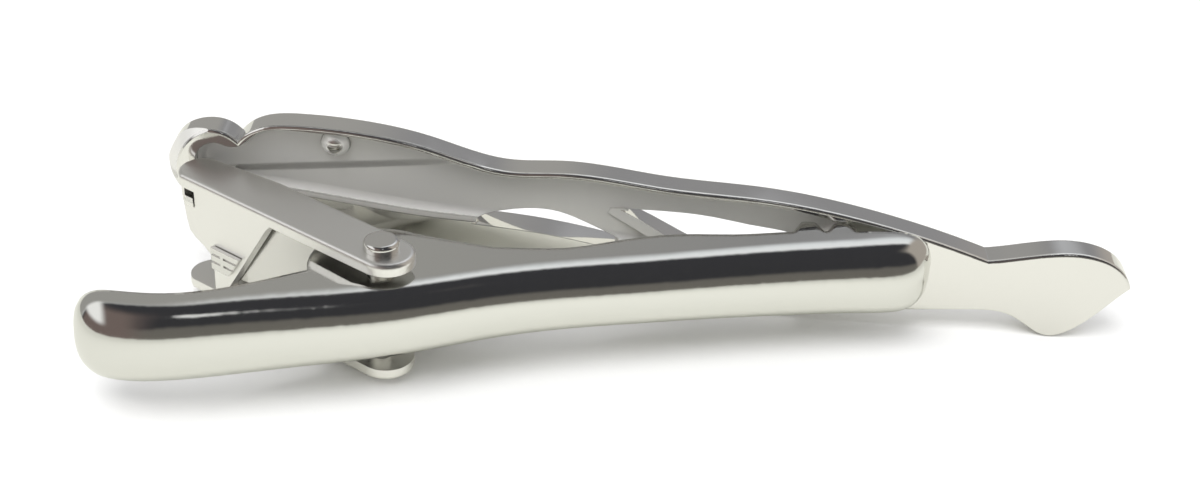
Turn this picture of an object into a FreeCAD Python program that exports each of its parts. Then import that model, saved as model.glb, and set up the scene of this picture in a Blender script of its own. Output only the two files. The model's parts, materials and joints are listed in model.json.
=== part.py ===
import FreeCAD, Part
import math
import os

Vector = FreeCAD.Vector

# A sprung tie clip lying on its long edge. While it is drawn, x runs along the plate from its head to
# its tail, y = 0 is the back of the plate with the front face towards +y, and z = 0 is the plate's
# lowest edge. All lengths are in millimetres.

# Front plate
plate_length = 60.0
plate_height = 11.06
plate_thickness = 1.9
rim_width = 0.3
dish_depth = 0.95
dish_round = 0.5
edge_round = 0.22
back_round = 0.2
head_dome_radius = 4.2
head_dome_x = 3.9
head_dome_z = 7.4
head_dome_depth = 2.86
drop_radius = 0.95
drop_x = 10.4
drop_z = 9.8

# Hinge
pivot_x = 14.47
pivot_standoff = 8.74
strut_angle = 33.4
mid_height = 4.55
rivet_diameter = 1.5
rivet_head_diameter = 2.1
rivet_head_height = 0.6
rivet_head_round = 0.28
rivet_seat_clearance = 0.02
running_clearance = 0.05

# Bracket
bracket_width = 7.9
bracket_sheet = 0.75
ear_outer_offset = 1.72
ear_end_setback = 0.4
ear_end_radius = 1.68
ear_tail_reach = 14.4
ear_tail_width = 2.8
ear_tail_bulge = 0.95
ear_taper_reach = 9.2
low_ear_setback = 0.6
bracket_edge_round = 0.3
web_top_reach = 7.4
web_foot_reach = 10.6
slot_width = 0.8
slot_height = 1.05
slot_reach = 14.05
slot_drop = 1.33
slot_clearance = 0.04

# Lug of the plate that carries the bracket
lug_height = 1.2
lug_drop = 0.2
lug_base_x = 3.4
lug_base_width = 2.0
lug_seat_width = 1.25
lug_embed = 0.35
tenon_height = 0.58
tenon_proud = 0.08

# Arm
arm_length = 48.95
arm_overhang = 1.85
arm_stand = 15.72
arm_side_gap = 0.85
arm_lift = 0.2
arm_crown = 2.0
arm_sheet = 0.7
cap_length = 2.2
flange_depth = 3.0
ear_rise = 4.2
tooth_height = 1.25
tooth_base = 2.0
tooth_tip = 0.8
tooth_round = 0.3
tooth_pitch = 1.98
first_tooth_x = 39.45
jaw_clearance = 0.15

# Return spring
leaf_thickness = 0.25
leaf_side_gap = 0.1
leaf_thumb_width = 2.2
leaf_root_width = 4.5
leaf_root_drop = 0.35
leaf_neck_reach = 4.7
leaf_start = 11.3
leaf_pin_gap = 0.12
leaf_seat_gap = 0.04
leaf_thumb_x = 3.6
hook_start = 11.75
hook_height = 1.5
hook_drop = 0.7
hook_margin = 0.15
hook_edge_gap = 0.35
groove_width = 0.14
groove_depth = 0.1
slit_reach = 11.0

# One overrun serves every cut
overrun = 2.0

# Outline of the plate, as shares of its length and of its height
back_edge_shares = (
    (0.0758, 0.877), (0.095, 0.963), (0.138, 1.0), (0.2, 0.985), (0.267, 0.922), (0.347, 0.814),
    (0.403, 0.827), (0.508, 0.780), (0.611, 0.754), (0.736, 0.646), (0.848, 0.470),
)
tail_top_shares = ((0.848, 0.470), (0.893, 0.524), (0.948, 0.552), (0.982, 0.488), (1.0, 0.354))
tail_under_shares = (
    (1.0, 0.354), (0.981, 0.235), (0.957, 0.088), (0.923, 0.0), (0.902, 0.055), (0.879, 0.125),
    (0.84, 0.138), (0.797, 0.118), (0.66, 0.055), (0.52, 0.013), (0.433, 0.0),
)
head_shares = (
    (0.15, 0.0), (0.117, 0.018), (0.085, 0.095), (0.058, 0.28), (0.048, 0.44), (0.025, 0.545),
    (0.006, 0.60), (0.0, 0.67), (0.005, 0.77), (0.018, 0.88), (0.038, 0.934), (0.057, 0.935),
    (0.0758, 0.877),
)

# Dish in the plate's back: its head side, its right end, its lower edge, and the ridge of the slanting
# bar with the places along the plate where it starts to rise and where it is full
dish_head_shares = ((0.053, 0.597), (0.035, 0.67), (0.0325, 0.77), (0.043, 0.848), (0.06, 0.855))
dish_end_shares = ((0.708, 0.618), (0.64, 0.46), (0.483, 0.375))
dish_lower_shares = (
    (0.483, 0.375), (0.432, 0.416), (0.347, 0.472), (0.263, 0.497), (0.157, 0.561), (0.053, 0.597),
)
ridge_shares = (
    (0.455, 0.588), (0.47, 0.6), (0.53, 0.466), (0.575, 0.353), (0.545, 0.3), (0.51, 0.4), (0.49, 0.46),
    (0.453, 0.556),
)
ridge_rise_shares = (0.45, 0.535)

# Through openings beside the slanting bar
near_opening_lower_shares = ((0.313, 0.47), (0.347, 0.458), (0.382, 0.442), (0.432, 0.402), (0.463, 0.368))
near_opening_upper_shares = ((0.467, 0.398), (0.43, 0.486), (0.399, 0.543), (0.353, 0.531), (0.313, 0.47))
far_opening_upper_shares = (
    (0.465, 0.588), (0.5, 0.592), (0.558, 0.58), (0.605, 0.542), (0.647, 0.506), (0.67, 0.443),
)
far_opening_lower_shares = (
    (0.67, 0.443), (0.66, 0.353), (0.6, 0.316), (0.56, 0.353), (0.515, 0.466), (0.465, 0.588),
)

# Web of the bracket: its left edge, as shares of the slot's width and of the bracket's width
web_left_shares = (
    (-0.3, 1.0), (-0.26, 0.87), (0.1, 0.65), (0.36, 0.55), (0.9, 0.5), (1.7, 0.46), (2.45, 0.4),
    (2.75, 0.3), (2.8, 0.0),
)

# Grooves in the spring's hook, as shares of its height
hook_groove_shares = (0.3, 0.65)

# Arm: its crest line, as shares of its length and of its stand, and its flanges' edge, as shares of
# its length and of the flange's depth behind the crest
crest_shares = (
    (0.0, 0.985), (0.087, 1.0), (0.24, 0.87), (0.37, 0.742), (0.49, 0.579), (0.6, 0.478), (0.8, 0.318),
    (1.0, 0.186),
)
arm_width_shares = (
    (0.0, 1.18), (0.12, 1.14), (0.35, 1.03), (0.5, 0.98), (0.65, 0.98), (0.85, 1.05), (1.0, 1.12),
)
flange_shares = (
    (0.0, 0.8), (0.171, 0.87), (0.25, 1.27), (0.45, 1.45), (0.553, 1.1), (0.61, 1.25), (0.692, 1.29),
    (0.754, 1.14), (0.823, 1.1), (0.917, 0.94), (1.0, 0.77),
)
hump_shoulder_share = 0.7
arm_stations = 11
# Rounded ends of the arm: distance along the cap, width left, and drop of the crest
cap_shares = (
    (0.0, 0.32, 0.85), (0.06, 0.55, 0.6), (0.15, 0.68, 0.42), (0.35, 0.84, 0.2), (0.65, 0.96, 0.05),
    (1.0, 1.0, 0.0),
)


def smooth_edge(points, level_end=None):
    # level_end is the place in the list of a point where the curve runs level into a straight edge
    spline = Part.BSplineCurve()
    if level_end is None:
        spline.interpolate(points)
        return spline.toShape()
    flags = [i == level_end for i in range(len(points))]
    spline.interpolate(Points=points, Tangents=[Vector(-1, 0, 0)] * len(points), TangentFlags=flags)
    return spline.toShape()


def broken_edges(points):
    return [Part.makeLine(a, b) for a, b in zip(points, points[1:])]


def plate_points(shares, y):
    return [Vector(x * plate_length, y, z * plate_height) for x, z in shares]


def prism(edges, depth):
    wire = Part.Wire(Part.__sortEdges__(edges))
    return Part.Face(wire).extrude(depth)


def polygon_prism(points, depth):
    return prism(broken_edges(points + points[:1]), depth)


def edges_along(shape, direction):
    found = []
    for edge in shape.Edges:
        if edge.Curve.TypeId == "Part::GeomLine" and edge.Curve.Direction.cross(direction).Length < 1e-6:
            found.append(edge)
    return found


def plate_outline():
    belly_right = plate_points(tail_under_shares[-1:], 0)[0]
    belly_left = plate_points(head_shares[:1], 0)[0]
    edges = [smooth_edge(plate_points(back_edge_shares, 0))]
    edges.append(smooth_edge(plate_points(tail_top_shares, 0)))
    edges.append(smooth_edge(plate_points(tail_under_shares, 0), len(tail_under_shares) - 1))
    edges.append(Part.makeLine(belly_right, belly_left))
    edges.append(smooth_edge(plate_points(head_shares, 0), 0))
    return edges


def plate_dish():
    # the rim is left standing along the whole back edge
    rim_points = [p - Vector(0, 0, rim_width) for p in plate_points(back_edge_shares[:-2], -overrun)]
    first = plate_points(dish_head_shares[-1:], -overrun)
    last = plate_points(dish_end_shares[:1], -overrun)
    edges = [smooth_edge(plate_points(dish_head_shares, -overrun)), smooth_edge(first + rim_points + last)]
    edges += broken_edges(plate_points(dish_end_shares, -overrun))
    edges.append(smooth_edge(plate_points(dish_lower_shares, -overrun)))
    through = Vector(0, overrun + dish_depth, 0)
    tool = prism(edges, through)
    floor_edges = [e for e in tool.Edges if e.BoundBox.YMin > dish_depth - dish_round]
    return tool.makeFillet(dish_round, floor_edges).cut(bar_ridge(through))


def bar_ridge(through):
    # the ridge rises out of the dish's floor along the bar
    ridge = polygon_prism(plate_points(ridge_shares, -overrun), through)
    start, full = [share * plate_length for share in ridge_rise_shares]
    over_ramp = (full - start) * overrun / dish_depth
    above_ramp = [
        Vector(start - overrun, dish_depth, 0),
        Vector(start - overrun, -overrun, 0),
        Vector(full + over_ramp, -overrun, 0),
        Vector(start, dish_depth, 0),
    ]
    return ridge.cut(polygon_prism(above_ramp, Vector(0, 0, plate_height)))


def near_opening():
    lower = plate_points(near_opening_lower_shares, -overrun)
    upper = plate_points(near_opening_upper_shares, -overrun)
    edges = [smooth_edge(lower), Part.makeLine(lower[-1], upper[0]), smooth_edge(upper)]
    return prism(edges, Vector(0, plate_thickness + 2 * overrun, 0))


def far_opening():
    upper = plate_points(far_opening_upper_shares, -overrun)
    lower = plate_points(far_opening_lower_shares, -overrun)
    return prism([smooth_edge(upper), smooth_edge(lower)], Vector(0, plate_thickness + 2 * overrun, 0))


def outside_head_dome():
    # the back of the head's left side is a dome
    block = Part.makeBox(
        head_dome_x + overrun, head_dome_depth + overrun, plate_height + 2 * overrun,
        Vector(-overrun, -overrun, -overrun),
    )
    dome = Part.makeSphere(head_dome_radius, Vector(head_dome_x, head_dome_depth, head_dome_z))
    return block.cut(dome)


def pivot_point(z):
    return Vector(pivot_x, -pivot_standoff, z)


def from_strut(shape):
    # the strut's own axes: x along it towards the jaw, y towards the plate, both from the pivot
    shape.rotate(Vector(0, 0, 0), Vector(0, 0, 1), -strut_angle)
    shape.translate(pivot_point(0))
    return shape


def strut_to_plan(along, inward, z):
    angle = math.radians(strut_angle)
    x = pivot_x + along * math.cos(angle) + inward * math.sin(angle)
    y = -pivot_standoff - along * math.sin(angle) + inward * math.cos(angle)
    return Vector(x, y, z)


def bracket_top():
    return mid_height + bracket_width / 2


def bracket_bottom():
    return mid_height - bracket_width / 2


def slot_top():
    return bracket_top() - slot_drop + slot_height / 2


def slot_bottom():
    return slot_top() - slot_height


def plate_lug():
    # a cast lug with a shoulder against the web and a tenon in the web's slot
    web_inner = -ear_outer_offset + bracket_sheet
    seat_left = -slot_reach - (lug_seat_width - slot_width) / 2
    bottom = (slot_top() + slot_bottom()) / 2 - lug_drop - lug_height / 2
    base_y = dish_depth + lug_embed
    points = [
        strut_to_plan(seat_left, web_inner, bottom),
        strut_to_plan(seat_left + lug_seat_width, web_inner, bottom),
        Vector(lug_base_x + lug_base_width / 2, base_y, bottom),
        Vector(lug_base_x - lug_base_width / 2, base_y, bottom),
    ]
    body = polygon_prism(points, Vector(0, 0, lug_height))
    tenon_width = slot_width - 2 * slot_clearance
    tenon_depth = bracket_sheet + tenon_proud + lug_embed
    tenon_left = -slot_reach + slot_clearance
    corner = Vector(tenon_left, -ear_outer_offset - tenon_proud, slot_bottom() + slot_clearance)
    tenon = Part.makeBox(tenon_width, tenon_depth, tenon_height, corner)
    return body.fuse(from_strut(tenon))


def front_plate():
    plate = prism(plate_outline(), Vector(0, plate_thickness, 0))
    front_edges = [e for e in plate.Edges if e.BoundBox.YMin > plate_thickness - edge_round]
    plate = plate.makeFillet(edge_round, front_edges)
    back_edges = [e for e in plate.Edges if e.BoundBox.YMax < back_round]
    plate = plate.makeFillet(back_round, back_edges)
    plate = plate.cut(outside_head_dome())
    plate = plate.cut(plate_dish())
    plate = plate.cut(near_opening()).cut(far_opening())
    rim_drop = Part.makeSphere(drop_radius, Vector(drop_x, dish_depth, drop_z))
    return plate.fuse(rim_drop).fuse(plate_lug()).removeSplitter()


def bracket_ear(bottom, outer_level, tail_reach):
    outer = -ear_outer_offset
    tail_x = -tail_reach
    end_x = ear_end_setback
    tail_far = outer + ear_tail_width
    end_mid = outer + ear_end_radius
    end_far = end_mid + ear_end_radius
    edges = [Part.makeLine(Vector(tail_x, outer, bottom), Vector(end_x, outer, bottom))]
    edges.append(Part.Arc(
        Vector(end_x, outer, bottom),
        Vector(end_x + ear_end_radius, end_mid, bottom),
        Vector(end_x, end_far, bottom),
    ).toShape())
    edges += broken_edges([
        Vector(end_x, end_far, bottom),
        Vector(-ear_taper_reach, end_far, bottom),
        Vector(tail_x, tail_far, bottom),
    ])
    edges.append(Part.Arc(
        Vector(tail_x, tail_far, bottom),
        Vector(tail_x - ear_tail_bulge, (outer + tail_far) / 2, bottom),
        Vector(tail_x, outer, bottom),
    ).toShape())
    ear = prism(edges, Vector(0, 0, bracket_sheet))
    rounded = [e for e in ear.Edges if abs(e.BoundBox.Center.z - outer_level) < bracket_edge_round]
    return ear.makeFillet(bracket_edge_round, rounded)


def web_slant_low():
    return bracket_bottom() + 2 * bracket_sheet


def web_slant_top():
    return bracket_top() - 3 * bracket_sheet / 2


def web_edge(z):
    # the slanting right edge of the web, along the strut
    share = (z - web_slant_low()) / (web_slant_top() - web_slant_low())
    return -web_foot_reach + share * (web_foot_reach - web_top_reach)


def bracket_web():
    # its right edge slants from the top ear down to a narrow neck at the lower ear
    outer = -ear_outer_offset
    bottom = bracket_bottom() + bracket_edge_round
    height = bracket_width - 2 * bracket_edge_round
    left = [Vector(-slot_reach + x * slot_width, outer, bottom + z * height) for x, z in web_left_shares]
    right = [
        Vector(-web_foot_reach, outer, bottom),
        Vector(-web_foot_reach, outer, web_slant_low()),
        Vector(-web_top_reach, outer, web_slant_top()),
        Vector(-web_top_reach + bracket_sheet, outer, bottom + height),
    ]
    return polygon_prism(left + right, Vector(0, bracket_sheet, 0))


def hinge_bracket():
    bottom = bracket_bottom()
    top_ear = bracket_ear(bracket_top() - bracket_sheet, bracket_top(), ear_tail_reach)
    low_ear = bracket_ear(bottom, bottom, ear_tail_reach - low_ear_setback)
    body = top_ear.fuse(low_ear).fuse(bracket_web()).removeSplitter()
    slot_corner = Vector(-slot_reach, -ear_outer_offset - overrun, slot_bottom())
    slot = Part.makeBox(slot_width, bracket_sheet + overrun + overrun / 2, slot_height, slot_corner)
    bore_radius = rivet_diameter / 2 + rivet_seat_clearance
    bore = Part.makeCylinder(bore_radius, bracket_width + 2 * overrun, Vector(0, 0, bottom - overrun))
    slit = hook_tongue(-ear_outer_offset - overrun, bracket_sheet + 2 * overrun, slot_clearance)
    return from_strut(body.cut(slot).cut(slit).cut(bore))


def hinge_rivet():
    low = bracket_bottom()
    shank = Part.makeCylinder(rivet_diameter / 2, bracket_width, pivot_point(low))
    top_end = pivot_point(low + bracket_width)
    top_head = Part.makeCylinder(rivet_head_diameter / 2, rivet_head_height, top_end)
    low_end = pivot_point(low - rivet_head_height)
    low_head = Part.makeCylinder(rivet_head_diameter / 2, rivet_head_height, low_end)
    body = shank.fuse(top_head).fuse(low_head).removeSplitter()
    box = body.BoundBox
    rims = [e for e in body.Edges if e.BoundBox.ZMin > box.ZMax - rivet_head_round]
    rims += [e for e in body.Edges if e.BoundBox.ZMax < box.ZMin + rivet_head_round]
    return body.makeFillet(rivet_head_round, rims)


def smooth_share(shares, along):
    # a smooth curve through the points of a table
    last = len(shares) - 1
    i = 0
    while i < last - 1 and along > shares[i + 1][0]:
        i += 1
    (x0, y0), (x1, y1) = shares[max(i - 1, 0)], shares[i]
    (x2, y2), (x3, y3) = shares[i + 1], shares[min(i + 2, last)]
    slope_in = (y2 - y0) / (x2 - x0)
    slope_out = (y3 - y1) / (x3 - x1)
    span = x2 - x1
    t = (along - x1) / span
    start = (1 + 2 * t) * (1 - t) ** 2 * y1 + t * (1 - t) ** 2 * span * slope_in
    return start + t * t * (3 - 2 * t) * y2 + t * t * (t - 1) * span * slope_out


def arm_middle():
    return mid_height + arm_lift


def arm_half_width():
    return bracket_width / 2 - bracket_sheet - arm_side_gap


def crest_at(x):
    return arm_stand * smooth_share(crest_shares, (x + arm_overhang) / arm_length)


def half_width_at(x):
    return arm_half_width() * smooth_share(arm_width_shares, (x + arm_overhang) / arm_length)


def half_oval(centre, top, peak):
    # half an ellipse from the top over the peak, whichever of its two radii is the longer
    if (top - centre).Length >= (peak - centre).Length:
        return Part.ArcOfEllipse(Part.Ellipse(top, peak, centre), 0, math.pi).toShape()
    return Part.ArcOfEllipse(Part.Ellipse(peak, top, centre), -math.pi / 2, math.pi / 2).toShape()


def arm_section(x, stand, half_width, crown, spring_line):
    # a half-round face towards -y, and two straight flanges behind it
    centre = Vector(x, -stand + spring_line, arm_middle())
    crown_top = centre + Vector(0, 0, half_width)
    crown_low = centre - Vector(0, 0, half_width)
    reach = Vector(0, stand - spring_line + overrun, 0)
    edges = [half_oval(centre, crown_top, centre - Vector(0, crown, 0))]
    edges.append(Part.makeLine(crown_low, crown_low + reach))
    edges.append(Part.makeLine(crown_low + reach, crown_top + reach))
    edges.append(Part.makeLine(crown_top + reach, crown_top))
    return Part.Wire(edges)


def arm_loft(sheet):
    # the whole bar where sheet is 0, and the channel inside it for the arm's own sheet
    start = -arm_overhang + sheet
    end = arm_length - arm_overhang - sheet
    crown = arm_crown - sheet
    sections = []
    for along, width_share, drop_share in cap_shares:
        sections.append((start + along * cap_length, width_share, drop_share))
    for i in range(1, arm_stations):
        sections.append((i * arm_length / arm_stations - arm_overhang, 1, 0))
    for along, width_share, drop_share in reversed(cap_shares):
        sections.append((end - along * cap_length, width_share, drop_share))
    wires = []
    for x, width_share, drop_share in sections:
        half_width = (half_width_at(x) - sheet) * width_share
        wires.append(arm_section(x, crest_at(x), half_width, crown * (1 - drop_share), arm_crown))
    return Part.makeLoft(wires, True)


def arm_plan():
    # everything between the open side of the flanges and the outside of the crest
    low = arm_middle() - arm_half_width() - overrun
    tall = Vector(0, 0, 2 * arm_half_width() + 2 * overrun)
    left = -arm_overhang - overrun
    right = arm_length - arm_overhang + overrun
    near = -arm_stand - overrun
    edge_points = []
    for x_share, depth_share in flange_shares:
        x = x_share * arm_length - arm_overhang
        edge_points.append(Vector(x, -crest_at(x) + flange_depth * depth_share, low))
    first = edge_points[0]
    last = edge_points[-1]
    edges = [smooth_edge(edge_points)]
    edges += broken_edges([
        last,
        Vector(right, last.y, low),
        Vector(right, near, low),
        Vector(left, near, low),
        Vector(left, first.y, low),
        first,
    ])
    plan = prism(edges, tall)
    plan = plan.fuse(Part.makeCylinder(ear_rise, tall.z, pivot_point(low)))
    shoulder_x = pivot_x + 2 * ear_rise
    shoulder = [
        pivot_point(low),
        pivot_point(low) + Vector(0, ear_rise, 0),
        pivot_point(low) + Vector(ear_rise * hump_shoulder_share, ear_rise, 0) - Vector(0, ear_rise / 8, 0),
        Vector(shoulder_x, -crest_at(shoulder_x) + flange_depth, low),
        Vector(shoulder_x, -crest_at(shoulder_x), low),
    ]
    plan = plan.fuse(polygon_prism(shoulder, tall))
    for tooth_index in range(2):
        plan = plan.fuse(arm_tooth(first_tooth_x + tooth_index * tooth_pitch, low, tall))
    return plan


def arm_tooth(x, low, tall):
    tip_y = -jaw_clearance
    base_y = tip_y - tooth_height
    root_y = base_y - flange_depth / 2
    points = [
        Vector(x - tooth_base / 2, root_y, low),
        Vector(x - tooth_base / 2, base_y, low),
        Vector(x - tooth_tip / 2, tip_y, low),
        Vector(x + tooth_tip / 2, tip_y, low),
        Vector(x + tooth_base / 2, base_y, low),
        Vector(x + tooth_base / 2, root_y, low),
    ]
    tooth = polygon_prism(points, tall)
    corners = [e for e in edges_along(tooth, Vector(0, 0, 1)) if e.BoundBox.YMin > tip_y - tooth_round]
    return tooth.makeFillet(tooth_round, corners)


def clip_arm():
    arm = arm_loft(0).common(arm_plan()).cut(arm_loft(arm_sheet))
    bore_radius = rivet_diameter / 2 + running_clearance
    low = arm_middle() - arm_half_width() - overrun
    return arm.cut(Part.makeCylinder(bore_radius, 2 * arm_half_width() + 2 * overrun, pivot_point(low)))


def leaf_strip(start, end, low, width):
    # a straight run of the leaf between two points of its middle line
    run = end - start
    side = Vector(-run.y, run.x, 0).normalize() * (leaf_thickness / 2)
    level = Vector(0, 0, low)
    points = [start + side + level, end + side + level, end - side + level, start - side + level]
    return polygon_prism(points, Vector(0, 0, width))


def tangent_point(outside, radius, turn):
    # where a line from a point outside meets a circle round the pivot, on the side that turn gives
    pivot = pivot_point(0)
    away = outside - pivot
    angle = math.atan2(away.y, away.x) + turn * math.acos(radius / away.Length)
    return angle, pivot + Vector(radius * math.cos(angle), radius * math.sin(angle), 0)


def hook_bottom():
    return mid_height - hook_drop - hook_height / 2


def hook_tongue(outer, depth, clearance):
    # the strip of the spring in the web's slit, or with a clearance the slit itself
    corner = Vector(-slit_reach - clearance, outer, hook_bottom() + hook_margin - clearance)
    height = hook_height - 2 * hook_margin + 2 * clearance
    return Part.makeBox(leaf_thickness + 2 * clearance, depth, height, corner)


def spring_hook(inner):
    # the tail goes through a slit in the web, and its end is folded down on the web's outer face
    low = hook_bottom()
    top = low + hook_height
    outer = -ear_outer_offset - leaf_seat_gap - leaf_thickness
    lap = [
        Vector(-hook_start, outer, low),
        Vector(web_edge(low) - hook_edge_gap, outer, low),
        Vector(web_edge(top) - hook_edge_gap, outer, top),
        Vector(-hook_start, outer, top),
    ]
    hook = polygon_prism(lap, Vector(0, leaf_thickness, 0))
    for groove_share in hook_groove_shares:
        corner = Vector(-hook_start - overrun, outer - overrun, low + groove_share * hook_height)
        hook = hook.cut(Part.makeBox(hook_start, overrun + groove_depth, groove_width, corner))
    return from_strut(hook.fuse(hook_tongue(outer, inner - outer, 0)))


def return_spring():
    radius = rivet_diameter / 2 + leaf_pin_gap + leaf_thickness / 2
    web_inner = -ear_outer_offset + bracket_sheet
    tail = strut_to_plan(-leaf_start, web_inner + leaf_seat_gap + leaf_thickness / 2, 0)
    far_angle, far_touch = tangent_point(tail, radius, -1)
    edge_share = leaf_thumb_width / 2 / (half_width_at(leaf_thumb_x) - arm_sheet)
    crown_rise = (arm_crown - arm_sheet) * (1 - math.sqrt(1 - edge_share ** 2))
    inside = arm_sheet + crown_rise + leaf_seat_gap + leaf_thickness
    thumb = Vector(leaf_thumb_x, -crest_at(leaf_thumb_x) + inside, 0)
    near_angle, near_touch = tangent_point(thumb, radius, 1)
    leaf_width = 2 * (arm_half_width() - arm_sheet - leaf_side_gap)
    body_low = arm_middle() - leaf_width / 2
    thumb_low = arm_middle() - leaf_thumb_width / 2
    neck = far_touch + (tail - far_touch).normalize() * leaf_neck_reach
    root_low = arm_middle() - leaf_root_drop - leaf_root_width / 2
    spring = leaf_strip(tail, neck, root_low, leaf_root_width)
    spring = spring.fuse(leaf_strip(neck, far_touch, body_low, leaf_width))
    sweep = math.degrees(far_angle - near_angle) % 360
    ring = Part.makeCylinder(
        radius + leaf_thickness / 2, leaf_width, pivot_point(body_low), Vector(0, 0, 1), sweep
    )
    ring = ring.cut(Part.makeCylinder(radius - leaf_thickness / 2, leaf_width, pivot_point(body_low)))
    ring.rotate(pivot_point(0), Vector(0, 0, 1), math.degrees(near_angle))
    spring = spring.fuse(ring).fuse(leaf_strip(near_touch, thumb, thumb_low, leaf_thumb_width))
    return spring.fuse(spring_hook(web_inner + 2 * leaf_thickness)).removeSplitter()


def main():
    pieces = {
        "front_plate": front_plate(),
        "hinge_bracket": hinge_bracket(),
        "hinge_rivet": hinge_rivet(),
        "clip_arm": clip_arm(),
        "return_spring": return_spring(),
    }
    # the origin goes to the bottom centre of the whole clip
    box = Part.makeCompound(list(pieces.values())).optimalBoundingBox(False, False)
    shift = Vector(-box.Center.x, -box.Center.y, -box.ZMin)
    os.makedirs("parts", exist_ok=True)
    for name, shape in pieces.items():
        shape.translate(shift)
        shape.exportStep("parts/" + name + ".step")
        print(name, shape.isValid(), len(shape.Solids), round(shape.Volume, 2), "mm3")
    print("shift", [round(v, 4) for v in shift])
    print("pivot", [round(v, 4) for v in pivot_point(mid_height) + shift])
    print("size", round(box.XLength, 3), round(box.YLength, 3), round(box.ZLength, 3))


main()
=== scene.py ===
import json
import math
from collections import namedtuple

import bpy
from mathutils import Matrix, Vector


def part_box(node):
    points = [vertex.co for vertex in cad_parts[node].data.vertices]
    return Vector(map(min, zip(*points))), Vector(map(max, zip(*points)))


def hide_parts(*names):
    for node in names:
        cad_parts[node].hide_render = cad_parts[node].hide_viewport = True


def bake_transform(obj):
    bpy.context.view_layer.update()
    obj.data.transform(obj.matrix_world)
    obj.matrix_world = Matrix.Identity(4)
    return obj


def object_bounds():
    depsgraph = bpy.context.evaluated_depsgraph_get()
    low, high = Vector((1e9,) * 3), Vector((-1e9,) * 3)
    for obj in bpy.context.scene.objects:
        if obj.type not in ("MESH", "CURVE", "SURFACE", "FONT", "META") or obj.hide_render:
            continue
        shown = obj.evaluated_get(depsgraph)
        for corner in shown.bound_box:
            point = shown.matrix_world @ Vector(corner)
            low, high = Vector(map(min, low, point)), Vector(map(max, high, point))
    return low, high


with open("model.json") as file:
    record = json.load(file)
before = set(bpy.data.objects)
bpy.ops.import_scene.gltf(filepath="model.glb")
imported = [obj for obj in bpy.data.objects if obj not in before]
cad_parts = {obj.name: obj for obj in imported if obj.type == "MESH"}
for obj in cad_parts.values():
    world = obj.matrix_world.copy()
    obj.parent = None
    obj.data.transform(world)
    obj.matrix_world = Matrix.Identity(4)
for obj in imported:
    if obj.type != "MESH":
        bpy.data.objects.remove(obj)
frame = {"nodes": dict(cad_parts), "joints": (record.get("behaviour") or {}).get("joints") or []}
cad_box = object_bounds()
rivet_centre = frame["joints"][0]["pos_m"]

# Lengths below are in millimetres, and the scene is in metres
mm = 0.001

# Camera: its place, its angles in radians, and its lens for a picture this wide
camera_place = Vector((-2.80, -88.41, 63.55))
camera_yaw = 0.0064
camera_pitch = 0.5595
camera_roll = 0.0775
picture_width = 36.0
lens_length = 54.34

# Table of white paper: its size, the gap under the clip, and the pool of lamplight painted on it: where it
# fades, and its painted colours near and far
table_size = 4000.0
table_drop = 0.02
light_pool = (12.0, 90.0)
# painted light: the paper's colour is painted lighter near the clip and darker far away, as a pool of
# lamplight
painted_pool_near_colour = "F1F1E9"
painted_pool_far_colour = "D4D4CC"
white = "FFFFFF"

# Soft lamp above the table, and the light that the white room adds
lamp_strength = 1.65
lamp_spread_deg = 40.0
lamp_from_front_deg = 21.0
lamp_from_left_deg = 12.0
fill_light = 0.72

# Room that the metal mirrors: a share of the half turn from the front, over the top, to the back, and the
# colour there
room_sights = [
    (0.0, "726F69"), (0.09, "6E6B66"), (0.125, "38383B"), (0.48, "3A3A3E"), (0.53, "FAFCFF"),
    (0.66, "F0F4F8"), (0.74, "C8CACE"), (0.795, "909092"), (1.0, "99999B"),
]

# Slant of that room's ceiling: how far to the right it builds up, and how far it shifts what is seen
ceiling_slant_reach = 0.18
ceiling_slant_shift = 0.27

# Things in that room, by the direction to them: the axis, where each is out of sight, and where it is full
door_edges = (("X", 0.12, -0.25), ("Z", 0.95, 0.75), ("Y", 0.0, -0.2))
door_colour = "776A66"
left_wall_edges = (("X", 0.15, -0.1), ("Y", -0.1, 0.1))
left_wall_colour = "A3A29F"
right_wall_edges = (("X", 0.4, 0.62), ("Y", -0.34, -0.15))
right_wall_colour = "B2ABA3"
window_edges = (("X", -0.44, -0.6), ("Z", 0.25, 0.45), ("Y", 0.2, 0.0))

# Desk lamp in that room: the direction to it, how far from there its glow ends and is full, and its share
desk_lamp_direction = (0.20, -0.60, 0.775)
desk_lamp_edges = (0.09, 0.05)
desk_lamp_share = 0.9

# Plate: its thickness, and how far below its back the dish's satin starts and is full
plate_thickness = 1.9
dish_edge = (0.05, 0.2)

# Crease in the dish: its rise along X, its height at X of zero, its width and depth, and its fade along X
crease_rise_share = 0.118
crease_level = 10.33
crease_width = 0.6
crease_depth = 0.4
crease_fade = (-9.0, -14.0)

# Turn of a face, from -1 at the plate's back to 1 at its front, where a finish starts and where it is full
arm_inside_facing = (0.2, 0.5)
dish_facing = (-0.2, -0.45)
front_facing = (0.8, 0.95)

# Worn edges: their radius, on the arm and elsewhere, and the samples that smooth them
arm_edge_wear = 0.4
edge_wear = 0.06
edge_samples = 8

# Marks in the finishes: their spacing along X, Y and Z, the finer layers in them, and their depth. Real
# polishing lines and scratches are too fine to show, so they are drawn as coarse as they need to
Marks = namedtuple("Marks", "spacing layers depth")
buff_lines = Marks((0.16, 3.0, 3.0), 2.0, 0.00003)
press_ripple = Marks((9.0, 9.0, 9.0), 0.0, 0.0015)
cast_grain = Marks((0.14, 0.14, 0.14), 3.0, 0.0009)
cast_wave = Marks((2.4, 2.4, 2.4), 1.0, 0.003)
front_lines = Marks((8.0, 0.12, 0.12), 2.0, 0.0012)
tumble_scratches = Marks((0.22, 0.22, 0.22), 2.0, 0.0001)
strip_lines = Marks((5.0, 0.1, 0.1), 3.0, 0.0004)
paper_tooth = Marks((0.6, 0.6, 0.6), 2.0, 0.01)

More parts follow.
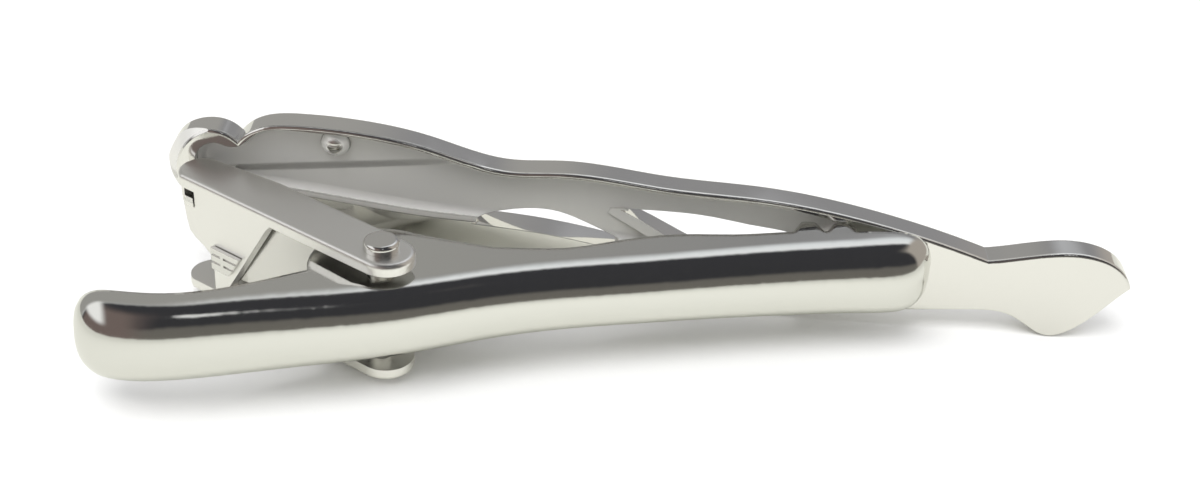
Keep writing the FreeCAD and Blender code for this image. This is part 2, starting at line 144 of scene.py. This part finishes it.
# Rings on the rivet's heads: their spacing, depth and unevenness, and the length in which a wave texture
# repeats at a scale of 1
heading_ring = 0.11
heading_depth = 0.0003
heading_unevenness = 0.6
wave_repeat = 0.31

# Colour of each metal
buffed_colour = "E2E2DE"
cast_colour = "ECEBE8"
tumbled_colour = "F0EFEC"
headed_colour = "E6E5E2"
strip_colour = "E2E1DE"

# Roughness of each finish from the smooth of its marks to the rough, and where in the marks these lie
mark_span = (0.3, 0.7)
buffed_finish = (0.07, 0.1)
unbuffed_finish = (0.4, 0.4)
cast_finish = (0.05, 0.1)
dish_finish = (0.3, 0.38)
front_finish = (0.14, 0.26)
tumbled_finish = (0.3, 0.38)
headed_finish = (0.06, 0.11)
strip_finish = (0.14, 0.24)

# Share of the light that the dish mirrors, and the rest it scatters
dish_mirror_share = 0.35


def linear(hex_text):
    channels = [int(hex_text[i:i + 2], 16) / 255 for i in (0, 2, 4)]
    return [c / 12.92 if c <= 0.04045 else ((c + 0.055) / 1.055) ** 2.4 for c in channels] + [1.0]


def add_node(tree, kind, settings=None, links=None):
    # settings name an input or a property of the node, links name an input and the output that feeds it
    node = tree.nodes.new(kind)
    for name, value in (settings or {}).items():
        if isinstance(name, int) or name in node.inputs:
            node.inputs[name].default_value = value
        else:
            setattr(node, name, value)
    for name, source in (links or {}).items():
        tree.links.new(source, node.inputs[name])
    return node


def new_material(name):
    material = bpy.data.materials.new(name)
    material.use_nodes = True
    material.node_tree.nodes.clear()
    return material, material.node_tree


def pattern(tree, marks):
    # noise in the piece's own place, with one mark per spacing along each axis
    place = add_node(tree, "ShaderNodeTexCoord")
    scale = [1 / (length * mm) for length in marks.spacing]
    scaled = add_node(tree, "ShaderNodeMapping", {"Scale": scale}, {"Vector": place.outputs["Object"]})
    noise = add_node(
        tree, "ShaderNodeTexNoise",
        {"Scale": 1.0, "Detail": marks.layers}, {"Vector": scaled.outputs["Vector"]},
    )
    return noise.outputs["Fac"]


def soft_mask(tree, edges):
    # each edge is a value, where the mask is empty and where it is full, and the mask is their product
    cover = None
    for value, empty, full in edges:
        edge = add_node(
            tree, "ShaderNodeMapRange",
            {"interpolation_type": "SMOOTHSTEP", "From Min": empty, "From Max": full}, {"Value": value},
        ).outputs["Result"]
        if cover is not None:
            product = add_node(tree, "ShaderNodeMath", {"operation": "MULTIPLY"}, {0: cover, 1: edge})
            edge = product.outputs["Value"]
        cover = edge
    return cover


def relief(tree, wear, layers):
    # plating and polishing take the sharpness off every edge, and each layer lies on the one before it
    worn = add_node(tree, "ShaderNodeBevel", {"samples": edge_samples, "Radius": wear * mm})
    normal = worn.outputs["Normal"]
    for height, depth in layers:
        bump = add_node(
            tree, "ShaderNodeBump", {"Distance": depth * mm}, {"Height": height, "Normal": normal}
        )
        normal = bump.outputs["Normal"]
    return normal


def silver(tree, colour, normal, grain, finish, zones=(), mirror=None):
    # the grain takes the roughness from smooth to rough, and a zone is a mask with a finish of its own
    low, high = mark_span
    roughness = None
    for mask, (smooth, rough) in [(None, finish), *zones]:
        worn = add_node(
            tree, "ShaderNodeMapRange",
            {"From Min": low, "From Max": high, "To Min": smooth, "To Max": rough}, {"Value": grain},
        )
        if mask is not None:
            worn = add_node(
                tree, "ShaderNodeMix", {"data_type": "FLOAT"},
                {"Factor": mask, "A": roughness, "B": worn.outputs["Result"]},
            )
        roughness = worn.outputs["Result"]
    links = {"Roughness": roughness, "Normal": normal}
    if mirror is not None:
        links["Metallic"] = mirror
    metal = add_node(
        tree, "ShaderNodeBsdfPrincipled", {"Base Color": linear(colour), "Metallic": 1.0}, links
    )
    add_node(tree, "ShaderNodeOutputMaterial", None, {"Surface": metal.outputs["BSDF"]})


def buffed_silver():
    # bright silver on a pressed brass strip: a mirror with faint lines across it from the buffing wheel,
    # and a satin inside that the wheel does not reach
    material, tree = new_material("buffed_silver_on_pressed_brass")
    place = add_node(tree, "ShaderNodeTexCoord")
    facing = add_node(tree, "ShaderNodeSeparateXYZ", None, {"Vector": place.outputs["Normal"]})
    inside = soft_mask(tree, [(facing.outputs["Y"], *arm_inside_facing)])
    lines = pattern(tree, buff_lines)
    ripple = pattern(tree, press_ripple)
    normal = relief(tree, arm_edge_wear, [(ripple, press_ripple.depth), (lines, buff_lines.depth)])
    silver(tree, buffed_colour, normal, lines, buffed_finish, [(inside, unbuffed_finish)])
    return material


def dish_crease(tree, spot, faces_back):
    # a soft step that runs along the dish and fades out towards the tail
    across = add_node(
        tree, "ShaderNodeMath", {"operation": "MULTIPLY_ADD", 1: -crease_rise_share},
        {0: spot.outputs["X"], 2: spot.outputs["Z"]},
    )
    foot, top = ((crease_level + side * crease_width / 2) * mm for side in (-1, 1))
    fade_start, fade_end = (x * mm for x in crease_fade)
    return soft_mask(tree, [
        (across.outputs["Value"], foot, top),
        (spot.outputs["X"], fade_start, fade_end),
        faces_back,
    ])


def cast_silver():
    # bright silver on a zinc casting: a mirror on the rim, satin in the dish, where no wheel reaches, and a
    # plain front with lines from the polishing
    material, tree = new_material("bright_silver_on_zinc_casting")
    place = add_node(tree, "ShaderNodeTexCoord")
    spot = add_node(tree, "ShaderNodeSeparateXYZ", None, {"Vector": place.outputs["Object"]})
    facing = add_node(tree, "ShaderNodeSeparateXYZ", None, {"Vector": place.outputs["Normal"]})
    faces_back = (facing.outputs["Y"], *dish_facing)
    back_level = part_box("front_plate")[1].y - plate_thickness * mm
    sunk_from, sunk_to = (back_level + edge * mm for edge in dish_edge)
    dish = soft_mask(tree, [(spot.outputs["Y"], sunk_from, sunk_to), faces_back])
    front = soft_mask(tree, [(facing.outputs["Y"], *front_facing)])
    grain = pattern(tree, cast_grain)
    wave = pattern(tree, cast_wave)
    lines = pattern(tree, front_lines)
    satin = add_node(tree, "ShaderNodeMath", {"operation": "MULTIPLY"}, {0: dish, 1: grain})
    polished = add_node(tree, "ShaderNodeMath", {"operation": "MULTIPLY"}, {0: front, 1: lines})
    normal = relief(tree, edge_wear, [
        (wave, cast_wave.depth),
        (dish_crease(tree, spot, faces_back), crease_depth),
        (satin.outputs["Value"], cast_grain.depth),
        (polished.outputs["Value"], front_lines.depth),
    ])
    mirror = add_node(
        tree, "ShaderNodeMapRange", {"To Min": 1.0, "To Max": dish_mirror_share}, {"Value": dish}
    )
    zones = [(dish, dish_finish), (front, front_finish)]
    silver(tree, cast_colour, normal, grain, cast_finish, zones, mirror.outputs["Result"])
    return material


def tumbled_silver():
    # silver on pressed steel, tumbled in a barrel: a soft mirror with fine scratches every way
    material, tree = new_material("tumbled_silver_on_pressed_steel")
    scratches = pattern(tree, tumble_scratches)
    normal = relief(tree, edge_wear, [(scratches, tumble_scratches.depth)])
    silver(tree, tumbled_colour, normal, scratches, tumbled_finish)
    return material


def headed_silver():
    # silver on a headed pin: a bright head with faint rings round its axis
    material, tree = new_material("bright_silver_on_headed_pin")
    place = add_node(tree, "ShaderNodeTexCoord")
    centre = {
        "Location": [-v / (heading_ring * mm) for v in rivet_centre],
        "Scale": [1 / (heading_ring * mm)] * 3,
    }
    centred = add_node(tree, "ShaderNodeMapping", centre, {"Vector": place.outputs["Object"]})
    # at a scale of its own repeat, the wave texture gives one ring per spacing
    ring_wave = {
        "wave_type": "RINGS", "rings_direction": "Z",
        "Scale": wave_repeat, "Distortion": heading_unevenness,
    }
    rings = add_node(tree, "ShaderNodeTexWave", ring_wave, {"Vector": centred.outputs["Vector"]})
    normal = relief(tree, edge_wear, [(rings.outputs["Fac"], heading_depth)])
    silver(tree, headed_colour, normal, rings.outputs["Fac"], headed_finish)
    return material


def rolled_strip():
    # tempered spring strip as it leaves the rolls: bright, with fine lines along the leaf
    material, tree = new_material("rolled_spring_strip")
    lines = pattern(tree, strip_lines)
    normal = relief(tree, edge_wear, [(lines, strip_lines.depth)])
    silver(tree, strip_colour, normal, lines, strip_finish)
    return material


def dress(piece, material):
    for slot in piece.material_slots:
        slot.material = material


def make_spring():
    # the leaf bends round the rivet, with one leg on the bracket's web and the other on the arm: a copy of
    # it, dressed as rolled strip, takes the imported part's place
    spring = bpy.data.objects.new("bent_leaf_spring", frame["nodes"]["return_spring"].data.copy())
    bpy.context.scene.collection.objects.link(spring)
    dress(spring, rolled_strip())
    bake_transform(spring)
    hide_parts("return_spring")


def make_camera():
    data = bpy.data.cameras.new("photo_camera")
    data.sensor_fit = "HORIZONTAL"
    data.sensor_width = picture_width
    data.lens = lens_length
    data.clip_start = mm
    forward = Vector((
        math.sin(camera_yaw) * math.cos(camera_pitch),
        math.cos(camera_yaw) * math.cos(camera_pitch),
        -math.sin(camera_pitch),
    ))
    level = Vector((math.cos(camera_yaw), -math.sin(camera_yaw), 0))
    upright = level.cross(forward)
    right = math.cos(camera_roll) * level + math.sin(camera_roll) * upright
    up = -math.sin(camera_roll) * level + math.cos(camera_roll) * upright
    turn = Matrix((right, up, -forward)).transposed()
    camera = bpy.data.objects.new("photo_camera", data)
    camera.matrix_world = Matrix.Translation(camera_place * mm) @ turn.to_4x4()
    bpy.context.scene.collection.objects.link(camera)
    bpy.context.scene.camera = camera


def table_paper():
    # matt white paper: a faint tooth, white to the camera, and to all else a cream pool of lamplight that
    # is painted into its colour, darker with distance
    material, tree = new_material("matt_white_paper_with_painted_light_pool")
    tooth = pattern(tree, paper_tooth)
    bump = add_node(tree, "ShaderNodeBump", {"Distance": paper_tooth.depth * mm}, {"Height": tooth})
    place = add_node(tree, "ShaderNodeTexCoord")
    away = add_node(tree, "ShaderNodeVectorMath", {"operation": "LENGTH"}, {0: place.outputs["Object"]})
    fade_start, fade_end = (distance * mm for distance in light_pool)
    dim = soft_mask(tree, [(away.outputs["Value"], fade_start, fade_end)])
    # painted light: the pool of lamplight is painted into the paper's colour, lighter near the clip and
    # darker far away
    pool = add_node(
        tree, "ShaderNodeMix",
        {"data_type": "RGBA", "A": linear(painted_pool_near_colour), "B": linear(painted_pool_far_colour)}, {"Factor": dim},
    )
    ray = add_node(tree, "ShaderNodeLightPath")
    seen = add_node(
        tree, "ShaderNodeMix", {"data_type": "RGBA", "B": linear(white)},
        {"Factor": ray.outputs["Is Camera Ray"], "A": pool.outputs["Result"]},
    )
    paper = add_node(
        tree, "ShaderNodeBsdfDiffuse", None,
        {"Color": seen.outputs["Result"], "Normal": bump.outputs["Normal"]},
    )
    add_node(tree, "ShaderNodeOutputMaterial", None, {"Surface": paper.outputs["BSDF"]})
    return material


def make_table():
    half = table_size * mm / 2
    level = cad_box[0].z - table_drop * mm
    mesh = bpy.data.meshes.new("table_top")
    corners = [(-half, -half, level), (half, -half, level), (half, half, level), (-half, half, level)]
    mesh.from_pydata(corners, [], [(0, 1, 2, 3)])
    mesh.materials.append(table_paper())
    table = bpy.data.objects.new("table_top", mesh)
    bpy.context.scene.collection.objects.link(table)


def make_lamp():
    data = bpy.data.lights.new("soft_lamp", "SUN")
    data.energy = lamp_strength
    data.angle = math.radians(lamp_spread_deg)
    lamp = bpy.data.objects.new("soft_lamp", data)
    lamp.rotation_euler = (math.radians(lamp_from_front_deg), math.radians(-lamp_from_left_deg), 0)
    lamp.visible_glossy = False
    bpy.context.scene.collection.objects.link(lamp)


def room_walls(tree, direction):
    # a dim room in front, a bright strip of ceiling whose edge runs askew to the right, and a grey wall
    # behind
    slant_range = {
        "interpolation_type": "SMOOTHSTEP",
        "From Max": ceiling_slant_reach, "To Max": ceiling_slant_shift,
    }
    slant = add_node(tree, "ShaderNodeMapRange", slant_range, {"Value": direction.outputs["X"]})
    front = add_node(
        tree, "ShaderNodeMath", {"operation": "SUBTRACT"},
        {0: slant.outputs["Result"], 1: direction.outputs["Y"]},
    )
    turn = add_node(
        tree, "ShaderNodeMath", {"operation": "ARCTAN2"},
        {0: direction.outputs["Z"], 1: front.outputs["Value"]},
    )
    over = add_node(
        tree, "ShaderNodeMath", {"operation": "DIVIDE", "use_clamp": True, 1: math.pi},
        {0: turn.outputs["Value"]},
    )
    walls = add_node(tree, "ShaderNodeValToRGB", None, {"Fac": over.outputs["Value"]})
    ramp = walls.color_ramp
    while len(ramp.elements) < len(room_sights):
        ramp.elements.new(1.0)
    for element, (share, colour) in zip(ramp.elements, room_sights):
        element.position = share
        element.color = linear(colour)
    return walls.outputs["Color"]


def room_sight(tree):
    # what the metal mirrors: the walls, with a brown door, a wall to each side, a window to the left and a
    # desk lamp
    place = add_node(tree, "ShaderNodeTexCoord")
    direction = add_node(tree, "ShaderNodeSeparateXYZ", None, {"Vector": place.outputs["Generated"]})
    things = [
        (soft_mask(tree, [(direction.outputs[axis], *edge) for axis, *edge in edges]), colour)
        for edges, colour in (
            (door_edges, door_colour),
            (left_wall_edges, left_wall_colour),
            (right_wall_edges, right_wall_colour),
            (window_edges, white),
        )
    ]
    apart = add_node(
        tree, "ShaderNodeVectorMath", {"operation": "DISTANCE", 1: desk_lamp_direction},
        {0: place.outputs["Generated"]},
    )
    glow = add_node(
        tree, "ShaderNodeMath", {"operation": "MULTIPLY", 1: desk_lamp_share},
        {0: soft_mask(tree, [(apart.outputs["Value"], *desk_lamp_edges)])},
    )
    things.append((glow.outputs["Value"], white))
    sight = room_walls(tree, direction)
    for mask, colour in things:
        seen = add_node(
            tree, "ShaderNodeMix", {"data_type": "RGBA", "B": linear(colour)}, {"Factor": mask, "A": sight}
        )
        sight = seen.outputs["Result"]
    return sight


def make_room():
    # the metal mirrors the room, the camera sees plain white, and all else is lit by an even white
    world = bpy.data.worlds.new("room")
    bpy.context.scene.world = world
    world.use_nodes = True
    tree = world.node_tree
    tree.nodes.clear()
    room = add_node(tree, "ShaderNodeBackground", {"Strength": 1.0}, {"Color": room_sight(tree)})
    fill = add_node(tree, "ShaderNodeBackground", {"Color": linear(white), "Strength": fill_light})
    backdrop = add_node(tree, "ShaderNodeBackground", {"Color": linear(white), "Strength": 1.0})
    ray = add_node(tree, "ShaderNodeLightPath")
    light = add_node(
        tree, "ShaderNodeMixShader", None,
        {0: ray.outputs["Is Glossy Ray"], 1: fill.outputs["Background"], 2: room.outputs["Background"]},
    )
    mix = add_node(
        tree, "ShaderNodeMixShader", None,
        {0: ray.outputs["Is Camera Ray"], 1: light.outputs["Shader"], 2: backdrop.outputs["Background"]},
    )
    add_node(tree, "ShaderNodeOutputWorld", None, {"Surface": mix.outputs["Shader"]})


bpy.context.scene.view_settings.view_transform = "Standard"
make_camera()
make_table()
make_lamp()
make_room()
dress(frame["nodes"]["clip_arm"], buffed_silver())
dress(frame["nodes"]["front_plate"], cast_silver())
dress(frame["nodes"]["hinge_bracket"], tumbled_silver())
dress(frame["nodes"]["hinge_rivet"], headed_silver())
make_spring()
